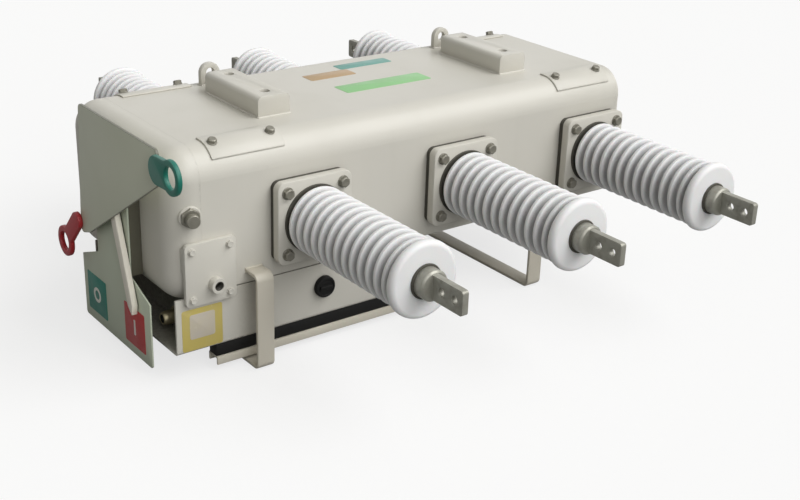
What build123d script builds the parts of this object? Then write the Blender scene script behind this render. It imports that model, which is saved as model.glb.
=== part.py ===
"""Pole-mounted load break switch: a rounded steel tank with three shed bushings on each long side,
a lower compartment, cradle straps to stand on, and a hookstick lever with a position pointer at the left.

Millimetres, +Z up, -Y is the front. The origin is at the middle of the footprint, on the ground.
"""

import math
import os

from build123d import *

# Tank: a long box, rounded along its top edges, with a pressed end at the left and a plate at the right.
# Its length is from the left end's face, and so is every inset below.
tank_length = 964.0
tank_depth = 381.0
tank_height = 242.0
tank_top_radius = 50.0
tank_bottom_radius = 5.0
ground_clearance = 146.0
left_end_depth = 52.0
left_end_drop = 19.0
left_end_corner_radius = 55.0
left_end_edge_radius = 42.0
right_end_thickness = 10.0
right_end_edge_radius = 5.0

# Phases: three bushings in a row on each long side, the rear row higher
phase_count = 3
phase_spacing = 320.0
first_phase_inset = 250.0
bushing_axis_drop = 142.0
rear_row_rise = 20.0

# Bushing flanges: a square plate on a round collar
flange_size = 144.0
flange_thickness = 16.0
flange_corner_radius = 14.0
collar_diameter = 132.0
collar_length = 10.0

# Bushings: a shed column with a smooth rounded cap, wider than the sheds
bushing_length = 297.0
shed_count = 13
shed_diameter = 118.0
core_diameter = 86.0
shed_rim_width = 8.0
bushing_base_length = 3.0
bushing_cap_length = 19.0
bushing_cap_diameter = 126.0
bushing_cap_radius = 9.0

# Terminals: a round boss with a flat drilled palm
boss_diameter = 50.0
boss_length = 23.0
boss_edge = 3.0
palm_length = 75.0
palm_height = 40.0
palm_thickness = 11.0
palm_corner_radius = 5.0
palm_hole_diameter = 14.0
palm_hole_spacing = 30.0
palm_hole_edge = 19.0

# Operating gear at the left end, outwards from the end plate
bearing_flange_diameter = 58.0
bearing_flange_thickness = 12.0
bearing_neck_diameter = 44.0
indicator_standoff = 20.0
indicator_thickness = 3.0
pointer_gap = 2.0
pointer_thickness = 10.0
lever_gap = 2.0
lever_thickness = 5.0
ring_thickness = 8.5
shaft_diameter = 30.0
shaft_running_clearance = 0.1
shaft_end_gap = 0.5
shaft_setback = 20.0
shaft_drop = 37.0

# Operating lever at rest: a right-angled plate about the shaft, one arm to the front and one arm down
lever_top_rise = 71.0
lever_rear_reach = 60.0
lever_front_reach = 216.0
lever_front_end = 56.0
lever_rear_lean = 24.0
lever_drop = 164.0
lever_foot_width = 37.0
lever_foot_rise = 12.0
lever_corner_radius = 10.0

# Pull rings: flat eyes on a tang, one beyond each arm's end, the green one's heights from the shaft
ring_outer_diameter = 55.0
ring_inner_diameter = 34.0
green_ring_beyond = 55.0
green_ring_rise = 46.0
green_root_beyond = 10.0
green_root_rise = 44.0
green_tang_width = 46.0
red_ring_beyond = 56.0
red_ring_below = 34.0
red_root_beyond = 2.0
red_root_above = 22.0
red_tang_width = 30.0

# Position pointer: a narrow bar that hangs from a hub
pointer_length = 268.0
pointer_width = 18.0
pointer_tilt = 18.5
pointer_tip_length = 16.0
pointer_hub_diameter = 52.0

# Indicator plate: a wide plate below a neck, and the neck's two side webs
indicator_width = 256.0
indicator_bottom = 13.0
indicator_fan_height = 116.0
indicator_shoulder = 26.0
indicator_neck_width = 124.0
indicator_head_radius = 40.0
indicator_corner_radius = 6.0
indicator_web_thickness = 3.0
indicator_web_drop = 62.0
indicator_neck_clearance = 1.0

# Mechanism cover and earth boss on the front, beside the left end
cover_inset = 17.0
cover_width = 92.0
cover_height = 108.0
cover_thickness = 8.0
cover_seat = 9.0
cover_overlap_below = 13.0
cover_corner_radius = 8.0
earth_inset = 70.0
earth_rise = 32.0
earth_boss_diameter = 26.0
earth_boss_length = 14.0
earth_thread_diameter = 16.0
earth_thread_depth = 12.0

# Lower compartment under the tank, open at its left end
compartment_inset = 2.0
compartment_length = 502.0
compartment_height = 99.0
compartment_depth = 300.0
compartment_setback = 1.0
compartment_wall = 4.0
compartment_edge_radius = 6.0
compartment_recess = 60.0
plug_diameter = 39.0
plug_length = 12.0
plug_edge = 3.0
plug_inset = 285.0
plug_rise = 56.0
gland_setback = 92.0
gland_rise = 25.0
gland_nut_width = 34.0
gland_nut_length = 14.0
gland_barrel_diameter = 26.0
gland_barrel_length = 26.0
gland_edge = 3.0

# Base rails under the compartment, each below a rubber buffer
rail_inset = 75.0
rail_length = 420.0
rail_width = 30.0
rail_height = 15.0
rail_wall = 4.0
buffer_height = 22.0
buffer_setback = 3.0
buffer_width = 24.0

# Cradle straps: flat bar bent into a wide U, its ends turned in to the tank
strap_width = 32.0
strap_thickness = 6.0
strap_stand_off = 38.0
strap_bend_radius = 10.0
strap_top_height = 173.0
left_strap_inset = 146.0
right_strap_inset = 747.0

# Mounting saddles on the rounded shoulders, and the hangers and lifting lugs between them
hanging_inset = 514.0
saddle_width = 134.0
saddle_thickness = 3.0
saddle_gap = 5.0
saddle_span = 52.0
saddle_lap = 10.0
saddle_drop = 20.0
hanger_spacing = 530.0
hanger_width = 62.0
hanger_length = 180.0
hanger_height = 36.0
hanger_bend_radius = 9.0
hanger_hole_diameter = 18.0
hanger_hole_spacing = 120.0
lug_width = 38.0
lug_height = 40.0
lug_thickness = 10.0
lug_hole_diameter = 16.0
lug_hole_rise = 23.0
lug_setback = 132.0

# One overrun for every cut
cut_overrun = 1.0

# Places worked out from the sizes above
mechanism_reach = (
    indicator_standoff
    + indicator_thickness
    + pointer_gap
    + pointer_thickness
    + lever_gap
    + lever_thickness
    + ring_thickness
)
overall_length = mechanism_reach + tank_length + right_end_thickness
end_face = mechanism_reach - overall_length / 2
body_left = end_face + left_end_depth
tank_right = end_face + tank_length
hanging_middle = end_face + hanging_inset
tank_top = ground_clearance + tank_height
tank_face = tank_depth / 2
bushing_axis = tank_top - bushing_axis_drop
flange_face = tank_face + collar_length + flange_thickness
bushing_end = flange_face + bushing_length
shaft_y = -shaft_setback
shaft_z = tank_top - shaft_drop
indicator_inner = end_face - indicator_standoff
indicator_face = indicator_inner - indicator_thickness
pointer_inner = indicator_face - pointer_gap
pointer_outer = pointer_inner - pointer_thickness
lever_inner = pointer_outer - lever_gap
lever_outer = lever_inner - lever_thickness
foot_rear = lever_rear_reach + lever_rear_lean
red_eye = (foot_rear + red_ring_beyond, -lever_drop - red_ring_below)
red_root = (foot_rear + red_root_beyond, red_root_above - lever_drop)
green_eye = (-lever_front_reach - green_ring_beyond, green_ring_rise)
green_root = (-lever_front_reach - green_root_beyond, green_root_rise)
compartment_bottom = ground_clearance - compartment_height
compartment_face = tank_face - compartment_setback
compartment_left = end_face + compartment_inset
compartment_middle = compartment_depth / 2 - compartment_face
recess_wall = compartment_left + compartment_recess
gland_y = gland_setback - compartment_face
rail_left = end_face + rail_inset
rail_top = compartment_bottom - buffer_height
strap_outer = tank_face + strap_stand_off
saddle_reach = hanger_spacing / 2 + hanger_width / 2 + saddle_gap + saddle_width / 2


def tank_profile(height, top_radius, bottom_radius):
    """Cross-section of the tank in the YZ plane, centred, with its top and bottom corners rounded."""
    outline = Rectangle(tank_depth, height)
    outline = fillet(outline.vertices().group_by(Axis.Y)[-1], top_radius)
    return fillet(outline.vertices().group_by(Axis.Y)[0], bottom_radius)


def along_x(sketch, start, length):
    """Extrude a sketch drawn in (Y, Z) along +X from a start plane."""
    return extrude(Plane.YZ.offset(start) * sketch, length)


def tank_body():
    """The rounded tank between its two ends."""
    middle = ground_clearance + tank_height / 2
    profile = Pos(0, middle) * tank_profile(tank_height, tank_top_radius, tank_bottom_radius)
    return along_x(profile, body_left, tank_right - body_left)


def left_end_plate():
    """The pressed mechanism end, rounded all round, which hangs below the tank."""
    height = tank_height + left_end_drop
    middle = tank_top - height / 2
    profile = Pos(0, middle) * tank_profile(height, tank_top_radius, left_end_corner_radius)
    pressing = along_x(profile, end_face, left_end_depth)
    return fillet(pressing.faces().sort_by(Axis.X)[0].edges(), left_end_edge_radius)


def right_end_plate():
    """The plain end plate, with a softened outer edge."""
    middle = ground_clearance + tank_height / 2
    profile = Pos(0, middle) * tank_profile(tank_height, tank_top_radius, tank_bottom_radius)
    plate = along_x(profile, tank_right, right_end_thickness)
    return fillet(plate.faces().sort_by(Axis.X)[-1].edges(), right_end_edge_radius)


def bushing_flange():
    """Square flange on a round collar, along +Y from the tank's face."""
    collar = extrude(Circle(collar_diameter / 2), collar_length)
    plate = extrude(RectangleRounded(flange_size, flange_size, flange_corner_radius), flange_thickness)
    return Rot(X=-90) * (collar + Pos(0, 0, collar_length) * plate)


def bushing():
    """Shed column turned about +Y, from its base ring to the rounded cap."""
    rim = shed_diameter / 2
    core = core_diameter / 2
    cap = bushing_cap_diameter / 2
    cap_start = bushing_length - bushing_cap_length
    pitch = (cap_start - bushing_base_length) / shed_count
    slope = (pitch - shed_rim_width) / 2
    points = [(0, 0), (core, 0), (core, bushing_base_length)]
    for shed in range(shed_count):
        start = bushing_base_length + shed * pitch
        points.append((rim, start + slope))
        points.append((rim, start + slope + shed_rim_width))
        points.append((core, start + pitch))
    points.append((cap, cap_start + slope))
    points.append((cap, bushing_length - bushing_cap_radius))
    crown = CenterArc(
        (cap - bushing_cap_radius, bushing_length - bushing_cap_radius), bushing_cap_radius, 0, 90
    )
    closing = Polyline((cap - bushing_cap_radius, bushing_length), (0, bushing_length), (0, 0))
    profile = make_face([*Polyline(*points).edges(), crown, *closing.edges()])
    return revolve(profile, Axis.Y)


def terminal():
    """Boss and drilled palm along +Y, from the bushing's cap."""
    boss = Rot(X=-90) * extrude(Circle(boss_diameter / 2), boss_length)
    boss = chamfer(boss.edges().group_by(Axis.Y)[-1], boss_edge)
    blank = RectangleRounded(palm_length, palm_height, palm_corner_radius)
    first_hole = palm_length / 2 - palm_hole_edge
    for place in (first_hole, first_hole - palm_hole_spacing):
        blank -= Pos(place, 0) * Circle(palm_hole_diameter / 2)
    palm_middle = boss_length - palm_corner_radius + palm_length / 2
    palm = extrude(Plane.YZ * blank, palm_thickness / 2, both=True)
    return boss + Pos(0, palm_middle, 0) * palm


def shaft_bearing():
    """Bearing flange and neck seated on the rounded end, bored for the shaft."""
    neck_length = indicator_standoff + indicator_thickness
    seat = bearing_flange_thickness + left_end_edge_radius
    flange = Circle(bearing_flange_diameter / 2)
    neck = Circle(bearing_neck_diameter / 2)
    bore = Circle(shaft_diameter / 2 + shaft_running_clearance)
    at_shaft = Pos(shaft_y, shaft_z)
    bearing = along_x(at_shaft * flange, end_face - bearing_flange_thickness, seat) - left_end_plate()
    bearing += along_x(at_shaft * neck, end_face - neck_length, neck_length)
    bore_depth = neck_length + cut_overrun
    return bearing - along_x(at_shaft * bore, end_face - bore_depth, bore_depth)


def operating_shaft():
    """Round shaft from inside the bearing to the lever's inner face."""
    inner = end_face - shaft_end_gap
    return along_x(Pos(shaft_y, shaft_z) * Circle(shaft_diameter / 2), lever_inner, inner - lever_inner)


def operating_lever():
    """Right-angled plate with rounded corners, fixed to the shaft's end."""
    outline = make_face(
        Polyline(
            (lever_rear_reach, lever_top_rise),
            (-lever_front_reach, lever_top_rise),
            (-lever_front_reach, lever_top_rise - lever_front_end),
            (foot_rear - lever_foot_width, lever_foot_rise - lever_drop),
            (foot_rear, -lever_drop),
            close=True,
        )
    )
    outline = fillet(outline.vertices(), lever_corner_radius)
    return along_x(Pos(shaft_y, shaft_z) * outline, lever_outer, lever_thickness)


def pull_ring(eye, root, tang_width):
    """Flat eye on a tang that laps over the lever's outer face. Both ends are points from the shaft."""
    across = eye[0] - root[0]
    rise = eye[1] - root[1]
    lean = math.degrees(math.atan2(rise, across))
    tang = Rot(Z=lean) * SlotCenterToCenter(math.hypot(across, rise), tang_width)
    outline = Pos(root[0] + across / 2, root[1] + rise / 2) * tang
    outline += Pos(*eye) * Circle(ring_outer_diameter / 2)
    outline -= Pos(*eye) * Circle(ring_inner_diameter / 2)
    return along_x(Pos(shaft_y, shaft_z) * outline, lever_outer - ring_thickness, ring_thickness)


def position_pointer():
    """Narrow bar with a pointed tip, hung from a bored hub and turned to the red side."""
    half = pointer_width / 2
    tip = -pointer_length
    shoulder = tip + pointer_tip_length
    strip = make_face(
        Polyline((-half, 0), (-half, shoulder), (0, tip), (half, shoulder), (half, 0), close=True)
    )
    outline = Circle(pointer_hub_diameter / 2) + strip
    outline -= Circle(shaft_diameter / 2 + shaft_running_clearance)
    placed = Pos(shaft_y, shaft_z) * Rot(Z=-pointer_tilt) * outline
    return along_x(placed, pointer_outer, pointer_thickness)


def indicator_plate():
    """Wide plate under a neck that ends in a round head about the bearing."""
    half = indicator_width / 2
    neck = indicator_neck_width / 2
    fan_top = indicator_bottom + indicator_fan_height - shaft_z
    fan_bottom = indicator_bottom - shaft_z
    outline = make_face(
        Polyline(
            (-half, fan_bottom),
            (half, fan_bottom),
            (half, fan_top),
            (neck, fan_top + indicator_shoulder),
            (neck, indicator_head_radius),
            (-neck, indicator_head_radius),
            (-neck, fan_top + indicator_shoulder),
            (-half, fan_top),
            close=True,
        )
    )
    outline = fillet(outline.vertices().group_by(Axis.Y)[-1], indicator_head_radius)
    outline = fillet(outline.vertices().group_by(Axis.Y)[0], indicator_corner_radius)
    outline -= Circle(bearing_neck_diameter / 2 + indicator_neck_clearance)
    return along_x(Pos(shaft_y, shaft_z) * outline, indicator_face, indicator_thickness)


def indicator_bracket():
    """Two upright webs that carry the plate's neck from the end plate."""
    bottom = indicator_bottom + indicator_fan_height + indicator_shoulder
    height = shaft_z - indicator_web_drop - bottom
    edge = indicator_neck_width / 2 - indicator_web_thickness / 2
    webs = Sketch()
    for side in (-1, 1):
        webs += Pos(shaft_y + side * edge, bottom + height / 2) * Rectangle(indicator_web_thickness, height)
    return along_x(webs, indicator_inner, indicator_standoff)


def mechanism_cover():
    """Raised cover plate on the front, filled in behind where the left end is rounded."""
    bottom = ground_clearance - cover_overlap_below
    plate = extrude(RectangleRounded(cover_width, cover_height, cover_corner_radius), cover_thickness)
    place = Pos(end_face + cover_inset + cover_width / 2, -tank_face, bottom + cover_height / 2)
    cover = place * Rot(X=90) * plate
    seat_width = left_end_edge_radius - cover_inset
    seat_height = cover_height - cover_overlap_below - left_end_corner_radius
    seat_x = end_face + cover_inset + seat_width / 2
    seat_z = bottom + cover_height - cover_corner_radius - seat_height / 2
    seat = Pos(seat_x, cover_seat / 2 - tank_face, seat_z) * Box(seat_width, cover_seat, seat_height)
    return cover + (seat - left_end_plate())


def earth_boss():
    """Round boss on the cover with a tapped blind hole."""
    boss = extrude(Circle(earth_boss_diameter / 2), earth_boss_length)
    hole = extrude(Circle(earth_thread_diameter / 2), earth_thread_depth + cut_overrun)
    boss -= Pos(0, 0, earth_boss_length - earth_thread_depth) * hole
    height = ground_clearance - cover_overlap_below + earth_rise
    return Pos(end_face + earth_inset, -tank_face - cover_thickness, height) * Rot(X=90) * boss


def lower_compartment():
    """Box under the tank, with a recess at its left end that is open to the left and above."""
    middle = Pos(compartment_middle, compartment_bottom + compartment_height / 2)
    outline = Rectangle(compartment_depth, compartment_height)
    outline = fillet(outline.vertices().group_by(Axis.Y)[0], compartment_edge_radius)
    box = along_x(middle * outline, compartment_left, compartment_length)
    mouth = Rectangle(compartment_depth - 2 * compartment_wall, compartment_height)
    mouth = middle * Pos(0, compartment_wall) * mouth
    box -= along_x(mouth, compartment_left - cut_overrun, compartment_recess + cut_overrun)
    return box - left_end_plate()


def compartment_plug():
    """Round plug on the compartment's front."""
    plug = extrude(Circle(plug_diameter / 2), plug_length)
    plug = chamfer(plug.edges().group_by(Axis.Z)[-1], plug_edge)
    return Pos(end_face + plug_inset, -compartment_face, compartment_bottom + plug_rise) * Rot(X=90) * plug


def cable_gland():
    """Hexagon nut and barrel on the recess wall, pointing left."""
    nut = extrude(RegularPolygon(gland_nut_width / 2, 6, major_radius=False), gland_nut_length)
    barrel = Pos(0, 0, gland_nut_length) * extrude(Circle(gland_barrel_diameter / 2), gland_barrel_length)
    gland = nut + chamfer(barrel.edges().group_by(Axis.Z)[-1], gland_edge)
    return Pos(recess_wall, gland_y, compartment_bottom + gland_rise) * Rot(Y=-90) * gland


def base_rail(side):
    """Channel rail, open below. The rear side is +1."""
    channel = Rectangle(rail_width, rail_height)
    channel -= Pos(0, -rail_wall) * Rectangle(rail_width - 2 * rail_wall, rail_height)
    rail_y = compartment_middle + side * (compartment_depth - rail_width) / 2
    return along_x(Pos(rail_y, rail_top - rail_height / 2) * channel, rail_left, rail_length)


def base_buffer(side):
    """Rubber strip between a rail and the compartment. The rear side is +1."""
    buffer_y = compartment_middle + side * (compartment_depth / 2 - buffer_setback - buffer_width / 2)
    section = Pos(buffer_y, rail_top + buffer_height / 2) * Rectangle(buffer_width, buffer_height)
    return along_x(section, rail_left, rail_length)


def cradle_strap(inset):
    """Flat bar in a wide U under the tank, its upper ends turned in to the tank's faces."""
    half = strap_outer - strap_thickness / 2
    low = strap_thickness / 2
    high = strap_top_height - strap_thickness / 2
    path = FilletPolyline(
        (-tank_face, high), (-half, high), (-half, low), (half, low), (half, high), (tank_face, high),
        radius=strap_bend_radius,
    )
    return along_x(trace(path, strap_thickness), end_face + inset - strap_width / 2, strap_width)


def mounting_saddle(side):
    """Two pads bent to the tank's front and rear shoulders. The right side is +1."""
    middle = Pos(0, ground_clearance + tank_height / 2)
    inner = tank_profile(tank_height, tank_top_radius, tank_bottom_radius)
    band = offset(inner, saddle_thickness) - inner
    reach = tank_face - tank_top_radius - saddle_lap + saddle_span / 2
    height = saddle_drop + saddle_thickness
    top = tank_height / 2 + saddle_thickness
    start = hanging_middle + side * saddle_reach - saddle_width / 2
    pads = []
    for edge in (-1, 1):
        window = Pos(edge * reach, top - height / 2) * Rectangle(saddle_span, height)
        pads.append(along_x(middle * (band & window), start, saddle_width))
    return Compound(children=pads)


def hanger(side):
    """Rounded block on the tank's top, bored for two hanging bolts. The right side is +1."""
    section = Pos(0, hanger_height / 2) * Rectangle(hanger_width, hanger_height)
    section = fillet(section.vertices().group_by(Axis.Y)[-1], hanger_bend_radius)
    block = extrude(Plane.XZ * section, hanger_length / 2, both=True)
    for place in (-hanger_hole_spacing / 2, hanger_hole_spacing / 2):
        block -= Pos(0, place, 0) * extrude(Circle(hanger_hole_diameter / 2), hanger_height + cut_overrun)
    return Pos(hanging_middle + side * hanger_spacing / 2, 0, tank_top) * block


def lifting_lugs(side):
    """Upright eye plate on the tank's top, behind a hanger. The right side is +1."""
    outline = Pos(0, lug_height / 2) * Rectangle(lug_width, lug_height)
    outline = fillet(outline.vertices().group_by(Axis.Y)[-1], lug_width / 2 - cut_overrun)
    outline -= Pos(0, lug_hole_rise) * Circle(lug_hole_diameter / 2)
    lug = extrude(Plane.XZ * outline, lug_thickness / 2, both=True)
    return Pos(hanging_middle + side * hanger_spacing / 2, lug_setback, tank_top) * lug


parts = {
    "tank_body": tank_body(),
    "left_end_plate": left_end_plate(),
    "right_end_plate": right_end_plate(),
    "shaft_bearing": shaft_bearing(),
    "operating_shaft": operating_shaft(),
    "operating_lever": operating_lever(),
    "red_pull_ring": pull_ring(red_eye, red_root, red_tang_width),
    "green_pull_ring": pull_ring(green_eye, green_root, green_tang_width),
    "position_pointer": position_pointer(),
    "indicator_plate": indicator_plate(),
    "indicator_bracket": indicator_bracket(),
    "mechanism_cover": mechanism_cover(),
    "earth_boss": earth_boss(),
    "lower_compartment": lower_compartment(),
    "compartment_plug": compartment_plug(),
    "cable_gland": cable_gland(),
    "front_base_rail": base_rail(-1),
    "rear_base_rail": base_rail(1),
    "front_base_buffer": base_buffer(-1),
    "rear_base_buffer": base_buffer(1),
    "left_cradle_strap": cradle_strap(left_strap_inset),
    "right_cradle_strap": cradle_strap(right_strap_inset),
    "left_mounting_saddle": mounting_saddle(-1),
    "right_mounting_saddle": mounting_saddle(1),
    "left_hanger": hanger(-1),
    "right_hanger": hanger(1),
    "left_lifting_lugs": lifting_lugs(-1),
    "right_lifting_lugs": lifting_lugs(1),
}

# The three phases, front and rear: flange, bushing and terminal, one beyond the other
phase_names = ("left", "middle", "right")
row_axes = {"front": bushing_axis, "rear": bushing_axis + rear_row_rise}
for side_name, turn in (("front", 180), ("rear", 0)):
    for phase in range(phase_count):
        phase_x = end_face + first_phase_inset + phase * phase_spacing
        place = Pos(phase_x, 0, row_axes[side_name]) * Rot(Z=turn)
        name = f"{side_name}_{phase_names[phase]}"
        parts[f"{name}_flange"] = place * Pos(0, tank_face, 0) * bushing_flange()
        parts[f"{name}_bushing"] = place * Pos(0, flange_face, 0) * bushing()
        parts[f"{name}_terminal"] = place * Pos(0, bushing_end, 0) * terminal()

os.makedirs("parts", exist_ok=True)
for name, shape in parts.items():
    export_step(shape, f"parts/{name}.step")
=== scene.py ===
"""Looks of a pole-mounted load break switch: finishes, turned bushings, fasteners, welds and studio.

Metres, +Z up, -Y is the front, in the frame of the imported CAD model.
"""

import logging
import math
from collections.abc import Callable, Iterable, Sequence
from dataclasses import dataclass
from enum import Enum

import bmesh
import bpy
from mathutils import Matrix, Vector


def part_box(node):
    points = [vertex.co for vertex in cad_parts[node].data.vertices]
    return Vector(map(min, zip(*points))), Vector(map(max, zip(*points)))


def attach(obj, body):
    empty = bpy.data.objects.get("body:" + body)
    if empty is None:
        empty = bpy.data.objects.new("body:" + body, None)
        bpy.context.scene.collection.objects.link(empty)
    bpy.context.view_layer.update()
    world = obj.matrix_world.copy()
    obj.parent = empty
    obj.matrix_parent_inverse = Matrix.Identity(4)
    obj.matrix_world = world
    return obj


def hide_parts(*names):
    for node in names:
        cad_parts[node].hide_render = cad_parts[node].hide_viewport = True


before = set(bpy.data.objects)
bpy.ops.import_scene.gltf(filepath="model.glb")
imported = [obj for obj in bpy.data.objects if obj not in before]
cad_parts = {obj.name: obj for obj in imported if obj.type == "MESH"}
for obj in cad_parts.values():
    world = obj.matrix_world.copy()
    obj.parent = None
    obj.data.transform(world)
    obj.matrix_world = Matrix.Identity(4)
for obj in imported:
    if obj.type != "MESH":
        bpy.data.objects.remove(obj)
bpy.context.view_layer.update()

LOG = logging.getLogger("load_break_switch")
SIDES = ("left", "right")
HEX_SIDES = 6
CORNER_SEGMENTS = 6
RIM_SEGMENTS = 2
MERGE_DISTANCE = 1e-5
FLAT_ANGLE = math.radians(0.2)
EASED_ANGLE = math.radians(35)


class Body(Enum):
    """The CAD bodies that pieces ride on."""

    SWITCH = "switch"
    LEVER = "lever"
    POINTER = "pointer"


class Slot(Enum):
    """The record's material slots."""

    TANK = "tank_paint"
    STRAP = "strap_paint"
    BUSHING = "bushing_rubber"
    TERMINAL = "terminal_metal"
    LEVER = "lever_paint"
    RED = "red_paint"
    GREEN = "green_paint"
    POINTER = "pointer_paint"
    INDICATOR = "indicator_paint"
    STEEL = "bare_steel"
    RUBBER = "black_rubber"
    GLAND = "gland_brass"


def aimed(direction: Sequence[float], place: Sequence[float]) -> Matrix:
    """Give the matrix that turns +Z to a direction and moves the origin to a place."""
    turn = Vector(direction).to_track_quat("Z", "Y").to_matrix().to_4x4()
    return Matrix.Translation(place) @ turn


class Axis(Enum):
    """Directions that a piece modelled along +Z is turned to."""

    LEFT = (-1.0, 0.0, 0.0)
    FRONT = (0.0, -1.0, 0.0)
    REAR = (0.0, 1.0, 0.0)

    def at(self, place: Sequence[float]) -> Matrix:
        """Give the matrix that turns +Z to this direction and moves the origin to a place."""
        return aimed(self.value, place)


@dataclass(frozen=True)
class Tone:
    """A colour as seen on screen, from 0 to 255 a channel."""

    red: float
    green: float
    blue: float

    def linear(self) -> tuple[float, float, float, float]:
        """Give the colour as linear light with full alpha."""
        shares = [channel / 255 for channel in (self.red, self.green, self.blue)]
        return (*(c / 12.92 if c <= 0.04045 else ((c + 0.055) / 1.055) ** 2.4 for c in shares), 1.0)


class Signal:
    """A node's output, whose arithmetic adds Math nodes to its graph."""

    def __init__(self, graph: "Graph", socket: bpy.types.NodeSocket) -> None:
        """Keep the graph and the output socket."""
        self.graph = graph
        self.socket = socket

    def math(self, operation: str, *operands: "Signal | float") -> "Signal":
        """Add one Math node.

        Args:
            operation: The node's operation.
            operands: Its inputs in order, signals or numbers.

        Returns:
            The node's value.
        """
        return self.graph.value("ShaderNodeMath", {"operation": operation}, dict(enumerate(operands)))

    def __add__(self, other: "Signal | float") -> "Signal":
        """Add."""
        return self.math("ADD", self, other)

    def __radd__(self, other: float) -> "Signal":
        """Add to a number."""
        return self.math("ADD", other, self)

    def __sub__(self, other: "Signal | float") -> "Signal":
        """Subtract."""
        return self.math("SUBTRACT", self, other)

    def __rsub__(self, other: float) -> "Signal":
        """Subtract from a number."""
        return self.math("SUBTRACT", other, self)

    def __mul__(self, other: "Signal | float") -> "Signal":
        """Multiply."""
        return self.math("MULTIPLY", self, other)

    def __rmul__(self, other: float) -> "Signal":
        """Multiply a number."""
        return self.math("MULTIPLY", other, self)

    def band(self, low: float, high: float) -> "Signal":
        """Map a span of values smoothly to 0..1, with what lies outside held at its ends."""
        settings = {"interpolation_type": "SMOOTHSTEP", "clamp": True}
        return self.graph.value("ShaderNodeMapRange", settings, {0: self, 1: low, 2: high, 3: 0.0, 4: 1.0})


class Graph:
    """The node tree of one material or of the world."""

    def __init__(self, tree: bpy.types.NodeTree) -> None:
        """Start from an empty tree."""
        self.tree = tree
        tree.nodes.clear()

    def node(self, kind: str, settings: dict | None = None, sockets: dict | None = None) -> bpy.types.Node:
        """Add any node.

        Args:
            kind: The node's type.
            settings: Its properties, which are set first.
            sockets: Values, colours or signals by input name or number.

        Returns:
            The node.
        """
        made = self.tree.nodes.new(kind)
        for key, setting in (settings or {}).items():
            setattr(made, key, setting)
        for key, wanted in (sockets or {}).items():
            if isinstance(wanted, Signal):
                self.tree.links.new(wanted.socket, made.inputs[key])
            else:
                made.inputs[key].default_value = wanted.linear() if isinstance(wanted, Tone) else wanted
        return made

    def value(
        self, kind: str, settings: dict | None = None, sockets: dict | None = None, output: int | str = 0
    ) -> Signal:
        """Add any node and give one of its outputs as a signal."""
        return Signal(self, self.node(kind, settings, sockets).outputs[output])

    def place(self) -> Signal:
        """Give the piece's own coordinates."""
        return self.value("ShaderNodeTexCoord", output="Object")

    def noise(
        self, scale: float, detail: float, stretch: tuple[float, float, float] = (1.0, 1.0, 1.0)
    ) -> Signal:
        """Add a noise pattern on the piece's own coordinates.

        Args:
            scale: Features per metre.
            detail: Octaves.
            stretch: Scale by axis.

        Returns:
            A value from 0 to 1.
        """
        where = self.value("ShaderNodeMapping", None, {"Vector": self.place(), "Scale": stretch})
        return self.value("ShaderNodeTexNoise", None, {"Vector": where, "Scale": scale, "Detail": detail})

    def mix(self, share: Signal | float, first: Signal | Tone | tuple, second: Tone | tuple) -> Signal:
        """Mix two colours by a share of the second."""
        # A colour mix takes its colours at inputs 6 and 7, and gives the mixed one at output 2.
        return self.value("ShaderNodeMix", {"data_type": "RGBA"}, {0: share, 6: first, 7: second}, 2)

    def crevice(self, distance: float) -> Signal:
        """Give 1 deep in a corner and 0 on an open face."""
        open_share = self.value("ShaderNodeAmbientOcclusion", {"samples": 6}, {"Distance": distance}, "AO")
        return 1 - open_share

    def softened_normal(self, radius: float) -> Signal:
        """Give the normal of the surface with its edges rounded to a radius."""
        return self.value("ShaderNodeBevel", {"samples": 4}, {"Radius": radius})

    def edge(self, radius: float) -> Signal:
        """Find sharp edges.

        Args:
            radius: How far from an edge still counts, in metres.

        Returns:
            1 along sharp edges and 0 on flat faces.
        """
        flat = self.value("ShaderNodeNewGeometry", output="Normal")
        normals = {0: self.softened_normal(radius), 1: flat}
        agreement = self.value("ShaderNodeVectorMath", {"operation": "DOT_PRODUCT"}, normals, 1)
        return (1 - agreement).band(0.02, 0.25)

    def rim(self) -> Signal:
        """Find the narrow faces of a plate that stands across the X axis.

        Returns:
            1 on the narrow faces and 0 on the plate's two sides.
        """
        normal = self.value("ShaderNodeNewGeometry", output="True Normal")
        across = self.value("ShaderNodeSeparateXYZ", None, {0: normal})
        return 1 - (across * across).band(0.1, 0.6)

    def bump(self, height: Signal, depth: float, normal: Signal | None = None) -> Signal:
        """Add a bump.

        Args:
            height: Its pattern, from 0 to 1.
            depth: Its depth in metres.
            normal: Another normal that it lies over.

        Returns:
            The bumped normal.
        """
        sockets = {"Strength": 1.0, "Distance": depth, "Height": height}
        if normal is not None:
            sockets["Normal"] = normal
        return self.value("ShaderNodeBump", None, sockets)

    def surface(self, sockets: dict) -> None:
        """Close a material with a Principled shader of these sockets."""
        shader = self.value("ShaderNodeBsdfPrincipled", None, sockets)
        self.node("ShaderNodeOutputMaterial", None, {"Surface": shader})


def new_material(name: str) -> tuple[bpy.types.Material, Graph]:
    """Make an empty node material.

    Args:
        name: Its name.

    Returns:
        The material and the graph that fills it.
    """
    material = bpy.data.materials.new(name)
    material.use_nodes = True
    return material, Graph(material.node_tree)


@dataclass(frozen=True)
class Coating:
    """What every finish has: a name, a main colour and one shader that its own class feeds.

    Scales are features per metre. Reaches, radii and depths are metres.
    """

    name: str
    tone: Tone

    def sockets(self, graph: Graph) -> dict[str, Signal | float]:
        """Draw the pattern nodes, and give the shader's inputs by name."""
        raise NotImplementedError

    def material(self) -> bpy.types.Material:
        """Build the finish's material.

        Returns:
            The material with all its nodes.
        """
        material, graph = new_material(self.name)
        graph.surface(self.sockets(graph))
        return material


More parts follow.
